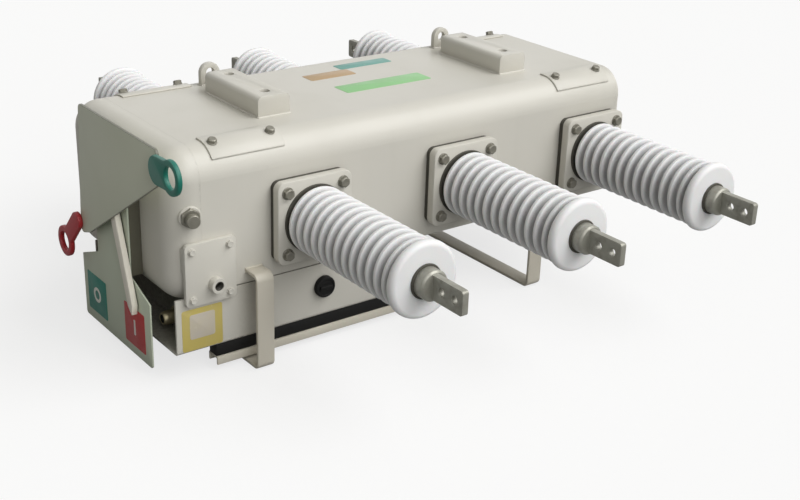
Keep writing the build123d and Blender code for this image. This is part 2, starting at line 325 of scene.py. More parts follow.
@dataclass(frozen=True)
class Enamel(Coating):
    """Sprayed coat on sheet steel: faint orange peel, sheet waviness, grime and painted shade in corners,
    rubbed edges, and, where a rim tone is set, painted shade on narrow rims.
    """

    drift: Tone
    dust_and_shade: Tone = Tone(118, 110, 96)
    dust_and_shade_share: float = 0.34
    dust_and_shade_reach: float = 0.03
    rubbed: Tone = Tone(150, 147, 140)
    rubbed_share: float = 0.5
    rim_shade: Tone | None = None
    rim_shade_share: float = 0.85
    rim_shade_reach: float = 0.0045
    roughness: float = 0.40
    edge_radius: float = 0.0012
    patch_scale: float = 4.0
    speckle_scale: float = 160.0
    streak_scale: float = 22.0
    streak_stretch: tuple[float, float, float] = (1.0, 1.0, 0.08)
    chip_scale: float = 55.0
    chip_reach: float = 0.0022
    wave_scale: float = 7.0
    waviness: float = 0.0006
    peel_scale: float = 420.0
    peel_depth: float = 0.00012

    def sockets(self, graph: Graph) -> dict[str, Signal | float]:
        """Draw patches and streaks, grime and painted shade in corners, chipped edges, painted shade on
        narrow rims, and the sprayed skin.

        Args:
            graph: The material's graph.

        Returns:
            The shader's inputs by name.
        """
        patches = graph.noise(self.patch_scale, 4.0).band(0.35, 0.7)
        speckle = graph.noise(self.speckle_scale, 4.0)
        streaks = graph.noise(self.streak_scale, 5.0, self.streak_stretch).band(0.52, 0.78)
        colour = graph.mix(patches * 0.55 + streaks * 0.25, self.tone, self.drift)
        # Grime and painted shade: the colour darkens towards a brown corner tone in corners and near other
        # parts, where shade falls.
        corner = graph.crevice(self.dust_and_shade_reach).band(0.25, 1.0) * (0.55 + speckle * 0.6)
        colour = graph.mix(corner * self.dust_and_shade_share, colour, self.dust_and_shade)
        chips = graph.edge(self.chip_reach) * graph.noise(self.chip_scale, 6.0).band(0.52, 0.66)
        colour = graph.mix(chips * self.rubbed_share, colour, self.rubbed)
        # Painted shade: where a rim tone is set, the plate's narrow faces and sharp edges darken towards
        # it.
        if self.rim_shade is not None:
            rim_shade_mask = (graph.rim() + graph.edge(self.rim_shade_reach)).band(0.0, 1.0)
            colour = graph.mix(rim_shade_mask * self.rim_shade_share, colour, self.rim_shade)
        waves = graph.noise(self.wave_scale, 2.0)
        sheet = graph.bump(waves, self.waviness, graph.softened_normal(self.edge_radius))
        return {
            "Base Color": colour,
            "Roughness": self.roughness + patches * 0.10 + corner * 0.25,
            "Specular IOR Level": 0.45,
            "Coat Weight": 0.12,
            "Coat Roughness": 0.25,
            "Normal": graph.bump(graph.noise(self.peel_scale, 2.0), self.peel_depth, sheet),
        }


@dataclass(frozen=True)
class Silicone(Coating):
    """Moulded pale rubber with a fine matt skin and painted shade in its grooves."""

    drift: Tone
    groove: Tone
    groove_shade_reach: float = 0.026
    cloud_scale: float = 9.0
    grain_scale: float = 500.0
    grain_depth: float = 0.00005

    def sockets(self, graph: Graph) -> dict[str, Signal | float]:
        """Draw clouds, painted shade in the grooves and a fine grain.

        Args:
            graph: The material's graph.

        Returns:
            The shader's inputs by name.
        """
        clouds = graph.noise(self.cloud_scale, 4.0).band(0.35, 0.7)
        grain = graph.noise(self.grain_scale, 3.0)
        colour = graph.mix(clouds * 0.6, self.tone, self.drift)
        # Painted shade: the grooves between the sheds darken towards a grey tone.
        deep = graph.crevice(self.groove_shade_reach).band(0.22, 0.80)
        return {
            "Base Color": graph.mix(deep * 0.68, colour, self.groove),
            "Roughness": 0.36 + grain * 0.12 + deep * 0.2,
            "Specular IOR Level": 0.5,
            "Subsurface Weight": 0.06,
            "Subsurface Scale": 0.004,
            "Normal": graph.bump(grain, self.grain_depth),
        }


@dataclass(frozen=True)
class Metal(Coating):
    """Plated metal with brushed scratches, stains and brighter edges."""

    stain: Tone
    bright: Tone
    metallic: float = 0.85
    roughness: float = 0.34
    stain_scale: float = 60.0
    stain_reach: float = 0.012
    bright_reach: float = 0.0015
    scratch_scale: float = 900.0
    scratch_stretch: tuple[float, float, float] = (1.0, 0.06, 1.0)
    scratch_depth: float = 0.00006
    edge_radius: float = 0.0006

    def sockets(self, graph: Graph) -> dict[str, Signal | float]:
        """Draw stains, bright edges, stained corners and scratches.

        Args:
            graph: The material's graph.

        Returns:
            The shader's inputs by name.
        """
        stains = graph.noise(self.stain_scale, 5.0).band(0.42, 0.75)
        scratches = graph.noise(self.scratch_scale, 3.0, self.scratch_stretch)
        colour = graph.mix(stains * 0.55, self.tone, self.stain)
        colour = graph.mix(graph.edge(self.bright_reach) * 0.6, colour, self.bright)
        corner = graph.crevice(self.stain_reach).band(0.3, 1.0)
        return {
            "Base Color": graph.mix(corner * 0.5, colour, self.stain),
            "Metallic": self.metallic - stains * 0.2,
            "Roughness": self.roughness + stains * 0.16 + scratches * 0.10,
            "Normal": graph.bump(scratches, self.scratch_depth, graph.softened_normal(self.edge_radius)),
        }


@dataclass(frozen=True)
class Rubber(Coating):
    """Dark moulded rubber or plastic with a faint bloom."""

    bloom: Tone
    haze_scale: float = 45.0
    grain_scale: float = 700.0
    grain_depth: float = 0.00008
    edge_radius: float = 0.0008

    def sockets(self, graph: Graph) -> dict[str, Signal | float]:
        """Draw the haze of the bloom and a fine grain.

        Args:
            graph: The material's graph.

        Returns:
            The shader's inputs by name.
        """
        haze = graph.noise(self.haze_scale, 5.0).band(0.45, 0.75)
        grain = graph.noise(self.grain_scale, 2.0)
        return {
            "Base Color": graph.mix(haze * 0.5, self.tone, self.bloom),
            "Roughness": 0.56 + haze * 0.2,
            "Specular IOR Level": 0.25,
            "Normal": graph.bump(grain, self.grain_depth, graph.softened_normal(self.edge_radius)),
        }


@dataclass(frozen=True)
class Film(Coating):
    """Printed film or screen print: one flat colour, faded in patches and scuffed at random."""

    faded: Tone
    scuffed: Tone
    fade_scale: float = 26.0
    scuff_scale: float = 140.0
    scuff_stretch: tuple[float, float, float] = (1.0, 1.0, 0.4)
    skin_scale: float = 300.0
    skin_depth: float = 0.00006

    def sockets(self, graph: Graph) -> dict[str, Signal | float]:
        """Draw faded patches, scuffs and the film's skin.

        Args:
            graph: The material's graph.

        Returns:
            The shader's inputs by name.
        """
        fading = graph.noise(self.fade_scale, 4.0).band(0.35, 0.72)
        scuffs = graph.noise(self.scuff_scale, 6.0, self.scuff_stretch).band(0.62, 0.74)
        colour = graph.mix(fading * 0.6, self.tone, self.faded)
        return {
            "Base Color": graph.mix(scuffs * 0.35, colour, self.scuffed),
            "Roughness": 0.34 + fading * 0.14 + scuffs * 0.2,
            "Normal": graph.bump(graph.noise(self.skin_scale, 2.0), self.skin_depth),
        }


class Finish(Enum):
    """Every finish on the switch."""

    TANK = Enamel("cream_enamel", Tone(210, 207, 198), Tone(202, 199, 189))
    # Painted shade: a very dark corner tone with a long reach darkens the compartment's mouth and recess.
    COMPARTMENT = Enamel(
        "compartment_painted_shade_enamel",
        Tone(210, 207, 198),
        Tone(202, 199, 189),
        dust_and_shade=Tone(52, 47, 37),
        dust_and_shade_share=0.85,
        dust_and_shade_reach=0.12,
    )
    STRAP = Enamel("strap_enamel", Tone(214, 208, 194), Tone(205, 199, 184), roughness=0.46)
    # Painted shade: a near-black rim tone darkens the lever's narrow faces and edges.
    LEVER = Enamel(
        "lever_enamel_painted_rim_shade", Tone(211, 214, 195), Tone(202, 205, 185), waviness=0.0003, rim_shade=Tone(76, 74, 62)
    )
    # Painted shade: a dark corner tone with a long reach darkens the plate where the lever overhangs it.
    INDICATOR = Enamel(
        "indicator_painted_shade_enamel",
        Tone(205, 213, 193),
        Tone(195, 203, 182),
        dust_and_shade=Tone(62, 59, 47),
        dust_and_shade_share=0.8,
        waviness=0.0003,
        dust_and_shade_reach=0.06,
    )
    # Painted shade: the bracket is painted dark all over, and darker in its corners, to stand for the shade
    # between the lever and the tank's end.
    BRACKET = Enamel(
        "bracket_painted_shade",
        Tone(96, 94, 80),
        Tone(84, 82, 69),
        dust_and_shade=Tone(48, 45, 36),
        dust_and_shade_share=0.7,
        waviness=0.0003,
        dust_and_shade_reach=0.06,
    )
    POINTER = Enamel("pointer_enamel", Tone(250, 245, 232), Tone(244, 237, 222), waviness=0.0002)
    RED = Enamel("red_enamel", Tone(172, 34, 42), Tone(154, 28, 36), dust_and_shade=Tone(92, 28, 28), waviness=0.0002)
    GREEN = Enamel("green_enamel", Tone(6, 112, 95), Tone(4, 98, 84), dust_and_shade=Tone(8, 60, 54), waviness=0.0002)
    # The third tone is the painted shade in the grooves between the sheds.
    SILICONE = Silicone("pale_silicone_painted_groove_shade", Tone(243, 243, 244), Tone(237, 237, 238), Tone(138, 137, 138))
    TINNED = Metal(
        "tinned_copper", Tone(158, 157, 147), Tone(120, 117, 107), Tone(200, 198, 190), metallic=0.45
    )
    ZINC = Metal("zinc_plated_steel", Tone(186, 184, 176), Tone(140, 136, 126), Tone(216, 214, 208))
    # Partly painted shade: the dark insert in the earth boss's hole also stands for the shade inside it.
    BLACKENED = Metal("blackened_steel_hole_shade", Tone(58, 56, 50), Tone(40, 38, 34), Tone(96, 94, 86), metallic=0.4)
    WEATHERED = Metal(
        "weathered_steel", Tone(134, 131, 120), Tone(98, 95, 85), Tone(172, 170, 160), metallic=0.45
    )
    NICKEL = Metal("nickel_brass", Tone(178, 168, 138), Tone(128, 112, 78), Tone(214, 206, 180))
    # Partly painted shade: a dark rubber for the gasket behind each flange and the rings at the bushings'
    # feet and terminal roots, darkening those gaps.
    GASKET = Rubber("gasket_shade_rubber", Tone(78, 76, 69), Tone(98, 95, 87))
    BLACK = Rubber("black_rubber_finish", Tone(13, 13, 12), Tone(27, 26, 24))
    RED_FILM = Film("red_film", Tone(190, 40, 40), Tone(172, 46, 44), Tone(206, 120, 112))
    TEAL_FILM = Film("teal_film", Tone(16, 124, 108), Tone(26, 108, 96), Tone(110, 170, 158))
    WHITE_FILM = Film("white_film", Tone(236, 234, 228), Tone(224, 221, 212), Tone(190, 186, 176))
    GREEN_FILM = Film("green_film", Tone(142, 202, 136), Tone(150, 194, 142), Tone(206, 222, 196))
    ORANGE_FILM = Film("orange_film", Tone(184, 152, 112), Tone(178, 158, 126), Tone(214, 204, 186))
    BLUE_FILM = Film("blue_film", Tone(104, 162, 152), Tone(117, 159, 150), Tone(196, 212, 206))
    YELLOW_FILM = Film("yellow_film", Tone(206, 188, 104), Tone(200, 184, 122), Tone(222, 214, 178))
    PALE_FILM = Film("pale_film", Tone(204, 196, 186), Tone(208, 198, 170), Tone(220, 214, 200))


class Palette:
    """Materials by finish, each built once."""

    def __init__(self) -> None:
        """Start with no material."""
        self._made: dict[Finish, bpy.types.Material] = {}

    def get(self, finish: Finish) -> bpy.types.Material:
        """Look up a finish's material, building it at its first use.

        Args:
            finish: The finish.

        Returns:
            Its material.
        """
        if finish not in self._made:
            self._made[finish] = finish.value.material()
        return self._made[finish]


@dataclass(frozen=True)
class Stock:
    """What a plate, panel or film is cut from: its corner radius, thickness and rounded upper rim."""

    corner: float
    thickness: float
    edge: float


class Bench:
    """Modelling by operators, one fresh object at a time."""

    @staticmethod
    def clear() -> None:
        """Go to object mode with nothing selected."""
        if bpy.context.mode != "OBJECT":
            bpy.ops.object.mode_set(mode="OBJECT")
        bpy.ops.object.select_all(action="DESELECT")

    @staticmethod
    def focus(piece: bpy.types.Object, mode: str = "OBJECT") -> None:
        """Make one piece the only selected and active one.

        Args:
            piece: The piece.
            mode: The mode to enter with it.
        """
        Bench.clear()
        piece.select_set(True)
        bpy.context.view_layer.objects.active = piece
        bpy.ops.object.mode_set(mode=mode)

    @staticmethod
    def started(name: str) -> bpy.types.Object:
        """Name the primitive that was just added.

        Args:
            name: Its name.

        Returns:
            The primitive.
        """
        piece = bpy.context.object
        piece.name = piece.data.name = name
        return piece

    @staticmethod
    def pick_edges(piece: bpy.types.Object, test: Callable[[Vector, Vector], bool]) -> None:
        """Select some of a piece's edges, in edit mode.

        Args:
            piece: The piece being edited.
            test: Tells from an edge's two ends whether it is wanted.
        """
        bpy.ops.mesh.select_mode(type="EDGE")
        bpy.ops.mesh.select_all(action="DESELECT")
        work = bmesh.from_edit_mesh(piece.data)
        for edge in work.edges:
            edge.select_set(test(edge.verts[0].co, edge.verts[1].co))
        bmesh.update_edit_mesh(piece.data)

    @staticmethod
    def closed(piece: bpy.types.Object, angle: float = 35.0) -> bpy.types.Object:
        """Merge doubles, point all faces outwards and shade smooth.

        Args:
            piece: The piece.
            angle: Edges flatter than this are smooth, in degrees.

        Returns:
            The same piece.
        """
        Bench.focus(piece, "EDIT")
        bpy.ops.mesh.select_all(action="SELECT")
        bpy.ops.mesh.remove_doubles(threshold=MERGE_DISTANCE)
        bpy.ops.mesh.normals_make_consistent(inside=False)
        bpy.ops.object.mode_set(mode="OBJECT")
        bpy.ops.object.shade_smooth_by_angle(angle=math.radians(angle))
        return piece

    @staticmethod
    def turned(
        name: str,
        profile: Sequence[tuple[float, float]],
        steps: int,
        scale: tuple[float, float] = (1.0, 1.0),
    ) -> bpy.types.Object:
        """Model a solid of revolution about +Z.

        Args:
            name: The piece's name.
            profile: Radius and height of each point, from the axis round and back to it.
            steps: Segments of a full turn.
            scale: What the radii and the heights are multiplied by.

        Returns:
            The piece.
        """
        points = [(radius * scale[0], height * scale[1]) for radius, height in profile]
        Bench.clear()
        bpy.ops.mesh.primitive_plane_add(size=0.01, enter_editmode=True)
        piece = Bench.started(name)
        bpy.ops.mesh.select_mode(type="VERT")
        bpy.ops.mesh.select_all(action="SELECT")
        bpy.ops.mesh.merge(type="CENTER")
        bpy.ops.transform.translate(value=(points[0][0], 0.0, points[0][1]))
        for (radius, height), (next_radius, next_height) in zip(points, points[1:]):
            step = (next_radius - radius, 0.0, next_height - height)
            bpy.ops.mesh.extrude_vertices_move(TRANSFORM_OT_translate={"value": step})
        bpy.ops.mesh.select_all(action="SELECT")
        bpy.ops.mesh.spin(steps=steps, angle=math.tau, center=(0, 0, 0), axis=(0, 0, 1))
        return Bench.closed(piece)

    @staticmethod
    def disc(
        name: str, radius: float, depth: float, edge: float, steps: int, foot: float = 0.0
    ) -> bpy.types.Object:
        """Turn a flat disc about +Z with a bevelled upper rim.

        Args:
            name: The piece's name.
            radius: Its radius.
            depth: Its rise along +Z.
            edge: The bevel of its upper rim.
            steps: Segments of a full turn.
            foot: The height of its underside.

        Returns:
            The piece.
        """
        top = foot + depth
        profile = ((0.0, foot), (radius, foot), (radius, top - edge), (radius - edge, top), (0.0, top))
        return Bench.turned(name, profile, steps)

    @staticmethod
    def hexagonal(piece: bpy.types.Object, across: float) -> bpy.types.Object:
        """Cut six flats along +Z, as a mill does.

        Args:
            piece: The turned piece.
            across: The width across flats.

        Returns:
            The same piece.
        """
        Bench.focus(piece, "EDIT")
        for side in range(HEX_SIDES):
            angle = math.tau * side / HEX_SIDES
            outward = Vector((math.cos(angle), math.sin(angle), 0.0))
            bpy.ops.mesh.select_all(action="SELECT")
            bpy.ops.mesh.bisect(
                plane_co=outward * across / 2, plane_no=outward, use_fill=True, clear_outer=True
            )
        return Bench.closed(piece, angle=25.0)

    @staticmethod
    def plate(name: str, size: tuple[float, float], stock: Stock) -> bpy.types.Object:
        """Model a flat plate with rounded corners, lying on the XY plane and rising along +Z.

        Args:
            name: The piece's name.
            size: Its sizes along X and Y.
            stock: What it is cut from.

        Returns:
            The piece.
        """
        Bench.clear()
        bpy.ops.mesh.primitive_plane_add(size=1.0, enter_editmode=True)
        piece = Bench.started(name)
        bpy.ops.transform.resize(value=(*size, 1.0))
        bpy.ops.mesh.select_all(action="SELECT")
        bpy.ops.mesh.bevel(affect="VERTICES", offset=stock.corner, segments=CORNER_SEGMENTS)
        bpy.ops.mesh.select_all(action="SELECT")
        rise = (0.0, 0.0, stock.thickness)
        bpy.ops.mesh.extrude_region_move(TRANSFORM_OT_translate={"value": rise})
        bpy.ops.mesh.select_all(action="SELECT")
        bpy.ops.mesh.normals_make_consistent(inside=False)
        Bench.pick_edges(piece, lambda a, b: min(a.z, b.z) > stock.thickness - MERGE_DISTANCE)
        bpy.ops.mesh.bevel(affect="EDGES", offset=stock.edge, segments=RIM_SEGMENTS)
        return Bench.closed(piece, angle=30.0)

    @staticmethod
    def bead(name: str, path: Sequence[Vector], radius: float, ripple: float = 0.12) -> bpy.types.Object:
        """Lay a rippled weld bead, made a mesh, along a path of corner points.

        Args:
            name: The piece's name.
            path: The corner points.
            radius: The bead's radius, which is half the pitch of its ripples.
            ripple: The ripples' depth as a share of the radius, on each side of their mean.

        Returns:
            The piece.
        """
        stations = [path[0]]
        for start, end in zip(path, path[1:]):
            count = max(1, round((end - start).length / (radius / 2)))
            stations += [start.lerp(end, (step + 1) / count) for step in range(count)]
        curve = bpy.data.curves.new(name, "CURVE")
        curve.dimensions = "3D"
        curve.bevel_depth = radius
        curve.bevel_resolution = 2
        curve.use_fill_caps = True
        spline = curve.splines.new("POLY")
        spline.points.add(len(stations) - 1)
        for index, (point, station) in enumerate(zip(spline.points, stations)):
            point.co = (*station, 1.0)
            point.radius = 1 - ripple + ripple * math.cos(index * math.pi / 2)
        piece = bpy.data.objects.new(name, curve)
        bpy.context.collection.objects.link(piece)
        Bench.focus(piece)
        bpy.ops.object.convert(target="MESH")
        return Bench.closed(bpy.context.object, angle=60.0)

    @staticmethod
    def copied(source: bpy.types.Object, name: str, place: Matrix) -> bpy.types.Object:
        """Copy a modelled piece, with its own mesh.

        Args:
            source: The piece to copy.
            name: The copy's name.
            place: Where its mesh is moved to.

        Returns:
            The copy.
        """
        mesh = source.data.copy()
        mesh.transform(place)
        piece = bpy.data.objects.new(name, mesh)
        bpy.context.collection.objects.link(piece)
        return piece

    @staticmethod
    def joined(name: str, pieces: Sequence[bpy.types.Object]) -> bpy.types.Object:
        """Join pieces into one mesh.

        Args:
            name: The joined piece's name.
            pieces: The pieces.

        Returns:
            The joined piece.
        """
        Bench.focus(pieces[0])
        for piece in pieces:
            piece.select_set(True)
        bpy.ops.object.join()
        pieces[0].name = pieces[0].data.name = name
        return pieces[0]

    @staticmethod
    def repeated(name: str, source: bpy.types.Object, places: Iterable[Matrix]) -> bpy.types.Object:
        """Copy a modelled piece to several places as one mesh."""
        return Bench.joined(name, [Bench.copied(source, name, place) for place in places])

    @staticmethod
    def eased(node: str, width: float) -> bpy.types.Object:
        """Copy a CAD node's mesh with its sharp edges eased.

        Args:
            node: The CAD node.
            width: Width of the easing.

        Returns:
            The piece, named for the node.
        """
        piece = Bench.copied(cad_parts[node], f"{node}_eased", Matrix.Identity(4))
        Bench.focus(piece, "EDIT")
        bpy.ops.mesh.customdata_custom_splitnormals_clear()
        bpy.ops.mesh.select_all(action="SELECT")
        bpy.ops.mesh.remove_doubles(threshold=MERGE_DISTANCE)
        bpy.ops.mesh.dissolve_limited(angle_limit=FLAT_ANGLE)
        bpy.ops.object.mode_set(mode="OBJECT")
        easing = piece.modifiers.new("easing", "BEVEL")
        easing.width = width
        easing.segments = RIM_SEGMENTS
        easing.limit_method = "ANGLE"
        easing.angle_limit = EASED_ANGLE
        bpy.ops.object.modifier_apply(modifier=easing.name)
        bpy.ops.object.shade_smooth_by_angle(angle=math.radians(40))
        return piece


class Assembly:
    """A group of pieces, with the means to dress them and fix them to the frame."""

    @dataclass(frozen=True)
    class Sizes:
        """Sizes of the group's dressing, which each group states for itself."""

    def __init__(self, palette: Palette) -> None:
        """Keep the materials and take the group's sizes."""
        self.palette = palette
        self.sizes = self.Sizes()

    def dress(self, finish: Finish, *nodes: str) -> None:
        """Give CAD nodes that stay as they are a finish.

        Args:
            finish: The finish.
            nodes: The CAD nodes.
        """
        for node in nodes:
            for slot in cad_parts[node].material_slots:
                slot.material = self.palette.get(finish)
            LOG.info("dressed %s in %s", node, finish.value.name)

    def fix(
        self,
        piece: bpy.types.Object,
        finish: Finish,
        slot: Slot,
        place: Matrix | None = None,
        body: Body = Body.SWITCH,
        replaces: Sequence[str] = (),
    ) -> None:
        """Give a new piece its place, its finish and the body it rides on.

        Args:
            piece: The finished piece.
            finish: Its finish.
            slot: The record's slot it follows.
            place: Where its mesh is moved to, if it isn't there yet.
            body: The CAD body it moves with.
            replaces: CAD nodes it stands for.
        """
        if place is not None:
            piece.data.transform(place)
        piece.data.materials.clear()
        piece.data.materials.append(self.palette.get(finish))
        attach(piece, body.value)
        if replaces:
            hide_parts(*replaces)
        LOG.info("%s: %d faces on %s", piece.name, len(piece.data.polygons), body.value)

    def ease(
        self, finish: Finish, slot: Slot, width: float, *nodes: str, body: Body = Body.SWITCH
    ) -> None:
        """Replace CAD nodes by copies with eased edges."""
        for node in nodes:
            self.fix(Bench.eased(node, width), finish, slot, body=body, replaces=(node,))


def middle(node: str) -> Vector:
    """Give the middle of a CAD node's box."""
    low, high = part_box(node)
    return (low + high) / 2


def corner_places(node: str, inset: float, face: float, axis: Axis) -> list[Matrix]:
    """Find the places of fasteners near the four corners of an upright plate.

    Args:
        node: The plate's CAD node.
        inset: From its edges to the fasteners.
        face: Where they sit along Y.
        axis: The way they point.

    Returns:
        One matrix a corner.
    """
    low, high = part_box(node)
    across = (low.x + inset, high.x - inset)
    upward = (low.z + inset, high.z - inset)
    return [axis.at((x, face, z)) for x in across for z in upward]


@dataclass(frozen=True)
class HexBolt:
    """A hexagon head on a round washer, its foot at the origin and its head along +Z."""

    across: float
    height: float
    washer_diameter: float
    washer_thickness: float
    chamfer: float = 0.0012
    edge: float = 0.0005
    dish_share: float = 0.3

    def build(self, name: str) -> bpy.types.Object:
        """Model the bolt.

        Args:
            name: The piece's name.

        Returns:
            The washer and head as one piece.
        """
        corner = self.across / math.sqrt(3)
        foot = self.washer_thickness
        top = foot + self.height
        crown = top - self.dish_share * self.edge
        profile = (
            (0.0, foot),
            (corner, foot),
            (corner, top - self.chamfer),
            (corner - 2 * self.chamfer, top),
            (corner - 2.4 * self.chamfer, crown),
            (0.0, crown),
        )
        head = Bench.hexagonal(Bench.turned(f"{name}_head", profile, 36), self.across)
        washer = Bench.disc(f"{name}_washer", self.washer_diameter / 2, foot, self.edge, 32)
        return Bench.joined(name, [head, washer])


class Tank(Assembly):
    """The tank with its end plates, saddles, hangers, lugs, weld beads, gas valve and blank films.

    The valve cap's half section is given in metres from the end's rounded edge.
    """

    VALVE_CAP = (
        (0.0, 0.008),
        (0.0095, 0.008),
        (0.0095, 0.0105),
        (0.0112, 0.0115),
        (0.0112, 0.0215),
        (0.0100, 0.0230),
        (0.0, 0.0232),
    )

    @dataclass(frozen=True)
    class Sizes:
        """Sizes of the tank's dressing, with leans in degrees."""

        plate_edge: float = 0.0012
        saddle_edge: float = 0.0028
        saddle_thickness: float = 0.003
        saddle_bolt: HexBolt = HexBolt(0.013, 0.0060, 0.017, 0.0015)
        saddle_bolt_inset: float = 0.014
        saddle_bolt_lean: float = 19.0
        top_radius: float = 0.050
        end_radius: float = 0.042
        bead: float = 0.0024
        valve_lean: float = 12.0
        valve_drop: float = 0.104
        valve_boss_radius: float = 0.0185
        valve_boss_sink: float = 0.006
        valve_boss_rise: float = 0.0015
        valve_boss_edge: float = 0.001
        valve_base_radius: float = 0.0165
        valve_base_rise: float = 0.0065
        valve_base_edge: float = 0.002
        valve_base_across: float = 0.0285
        film: Stock = Stock(0.004, 0.0004, 0.0004 / 3)

    def __init__(self, palette: Palette) -> None:
        """Take the tank's own box too."""
        super().__init__(palette)
        self.low, self.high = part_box("tank_body")

    def build(self) -> None:
        """Dress the plates, then add bolts, beads, valve and films."""
        sizes = self.sizes
        self.dress(Finish.TANK, "tank_body", "left_end_plate", "right_end_plate")
        for side in SIDES:
            self.ease(Finish.TANK, Slot.TANK, sizes.saddle_edge, f"{side}_mounting_saddle")
            self.ease(Finish.TANK, Slot.TANK, sizes.plate_edge, f"{side}_hanger", f"{side}_lifting_lugs")
        self.saddle_bolts()
        self.hanger_beads()
        self.gas_valve()
        self.films()

    def saddle_bolts(self) -> None:
        """Bolt each saddle at four points on the tank's rounded shoulders."""
        sizes = self.sizes
        bolt = sizes.saddle_bolt.build("saddle_bolt")
        lean = math.radians(sizes.saddle_bolt_lean)
        radius = sizes.top_radius + sizes.saddle_thickness
        for side in SIDES:
            low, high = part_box(f"{side}_mounting_saddle")
            places = []
            for end, start in ((-1, self.low.y + sizes.top_radius), (1, self.high.y - sizes.top_radius)):
                outward = Vector((0.0, end * math.sin(lean), math.cos(lean)))
                for x in (low.x + sizes.saddle_bolt_inset, high.x - sizes.saddle_bolt_inset):
                    root = Vector((x, start, self.high.z - sizes.top_radius)) + outward * radius
                    places.append(aimed(outward, root))
            bolts = Bench.repeated(f"{side}_saddle_bolts", bolt, places)
            self.fix(bolts, Finish.WEATHERED, Slot.STEEL)
        bpy.data.objects.remove(bolt)

    def hanger_beads(self) -> None:
        """Weld the feet of the hangers and lugs to the top."""
        for side in SIDES:
            beads = []
            for node in (f"{side}_hanger", f"{side}_lifting_lugs"):
                low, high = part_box(node)
                near = [Vector((low.x, low.y, low.z)), Vector((high.x, low.y, low.z))]
                far = [Vector((high.x, high.y, low.z)), Vector((low.x, high.y, low.z))]
                beads.append(Bench.bead("foot", [*near, *far, near[0]], self.sizes.bead))
            self.fix(Bench.joined(f"{side}_hanger_beads", beads), Finish.TANK, Slot.TANK)

    def gas_valve(self) -> None:
        """Screw a hexagon-based valve cap into a boss on the left end's rounded front edge."""
        sizes = self.sizes
        boss_depth = sizes.valve_boss_sink + sizes.valve_boss_rise
        boss = Bench.disc(
            "gas_valve_boss",
            sizes.valve_boss_radius,
            boss_depth,
            sizes.valve_boss_edge,
            steps=48,
            foot=-sizes.valve_boss_sink,
        )
        base = Bench.disc(
            "gas_valve_base",
            sizes.valve_base_radius,
            sizes.valve_base_rise,
            sizes.valve_base_edge,
            steps=36,
            foot=sizes.valve_boss_rise,
        )
        base = Bench.hexagonal(base, sizes.valve_base_across)
        cap = Bench.turned("gas_valve_cap", self.VALVE_CAP, 28)
        lean = math.radians(sizes.valve_lean)
        outward = Vector((-math.sin(lean), -math.cos(lean), 0.0))
        edge_low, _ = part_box("left_end_plate")
        centre = edge_low + Vector((sizes.end_radius, sizes.end_radius, 0.0))
        centre.z = self.high.z - sizes.valve_drop
        place = aimed(outward, centre + outward * sizes.end_radius)
        self.fix(boss, Finish.TANK, Slot.TANK, place)
        self.fix(base, Finish.WEATHERED, Slot.STEEL, place)
        self.fix(cap, Finish.WEATHERED, Slot.STEEL, place)

    def films(self) -> None:
        """Lay three blank colour films on the top."""
        sheets = (
            ("orange_blank_film", Finish.ORANGE_FILM, (0.100, 0.036), (0.006, 0.070)),
            ("blue_blank_film", Finish.BLUE_FILM, (0.120, 0.030), (0.106, 0.1045)),
            ("green_blank_film", Finish.GREEN_FILM, (0.190, 0.046), (0.064, -0.022)),
        )
        for name, finish, size, place in sheets:
            film = Bench.plate(name, size, self.sizes.film)
            self.fix(film, finish, Slot.TANK, Matrix.Translation((*place, self.high.z)))


